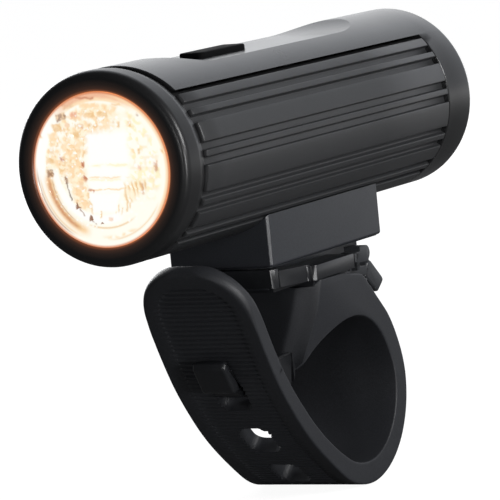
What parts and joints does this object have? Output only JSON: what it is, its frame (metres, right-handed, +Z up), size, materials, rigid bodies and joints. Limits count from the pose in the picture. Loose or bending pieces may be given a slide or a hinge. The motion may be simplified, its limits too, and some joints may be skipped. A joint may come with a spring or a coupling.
{
  "type": "bicycle headlight",
  "caption": "Grooved tube bicycle headlight with a scooped top cover, push button and rear charging port, on a quick-release bracket with a hooked rubber handlebar strap.",
  "frame": {"origin": "on the handlebar's axis, at the middle of the strap's width", "axes": "+X along the handlebar to the rider's left, -Y forward along the beam, +Z up"},
  "size_m": [0.032, 0.1044, 0.0794],
  "materials": {
    "body_shell": "black anodised, satin",
    "bezel": "black anodised, satin",
    "cover_plastic": "satin",
    "lens_clear": "clear, moulded facets behind",
    "reflector_metal": "bright",
    "led": "clear silicone over yellow",
    "led_plate": "white mask",
    "sink_metal": "turned",
    "cell": "shrink sleeve",
    "tab_steel": "nickel",
    "inner_plastic": "moulded",
    "circuit_board": "solder mask",
    "switch": "moulded",
    "button_rubber": "soft matt",
    "seal_rubber": "matt",
    "screw_steel": "black oxide",
    "port_steel": "drawn shell",
    "port_rubber": "soft matt",
    "foot_plastic": "fine texture",
    "bracket_plastic": "fine texture",
    "lever_plastic": "fine texture",
    "pin_steel": "bright",
    "strap_rubber": "matt, ribbed outside"
  },
  "bodies": {
    "bracket": {"bracket_base": "bracket_plastic", "strap": "strap_rubber", "lever_pin": "pin_steel", "lever_spring": "pin_steel"},
    "lamp": {"barrel": "body_shell", "front_bezel": "bezel", "front_seal": "seal_rubber", "top_cover": "cover_plastic", "tail_seal": "seal_rubber", "tail_screws": "screw_steel", "lens": "lens_clear", "lens_gasket": "seal_rubber", "reflector": "reflector_metal", "led_emitter": "led", "led_board": "led_plate", "heat_sink": "sink_metal", "battery_cell": "cell", "cell_tabs": "tab_steel", "battery_cradle": "inner_plastic", "driver_board": "circuit_board", "tactile_switch": "switch", "button_seal": "seal_rubber", "charge_board": "circuit_board", "charge_port": "port_steel", "mount_foot": "foot_plastic", "foot_screws": "screw_steel"},
    "button_key": {"button": "button_rubber"},
    "port_flap": {"port_cover": "port_rubber"},
    "lever": {"release_lever": "lever_plastic"}
  },
  "joints": [
    {"name": "lamp_slide", "type": "slide", "parent": "bracket", "child": "lamp", "axis": [0, 1, 0], "range_m": [0, 0.045]},
    {"name": "lever_hinge", "type": "hinge", "parent": "bracket", "child": "lever", "pos_m": [0, 0.0024, 0.0195], "axis": [1, 0, 0], "range_deg": [-8, 7], "stiffness_Nm_per_rad": 0.15},
    {"name": "button_press", "type": "slide", "parent": "lamp", "child": "button_key", "axis": [0, 0, -1], "range_m": [0, 0.0007], "stiffness_N_per_m": 1500},
    {"name": "port_flap_hinge", "type": "hinge", "parent": "lamp", "child": "port_flap", "pos_m": [0, 0.0418, 0.0403], "axis": [-1, 0, 0], "range_deg": [0, 110]}
  ]
}
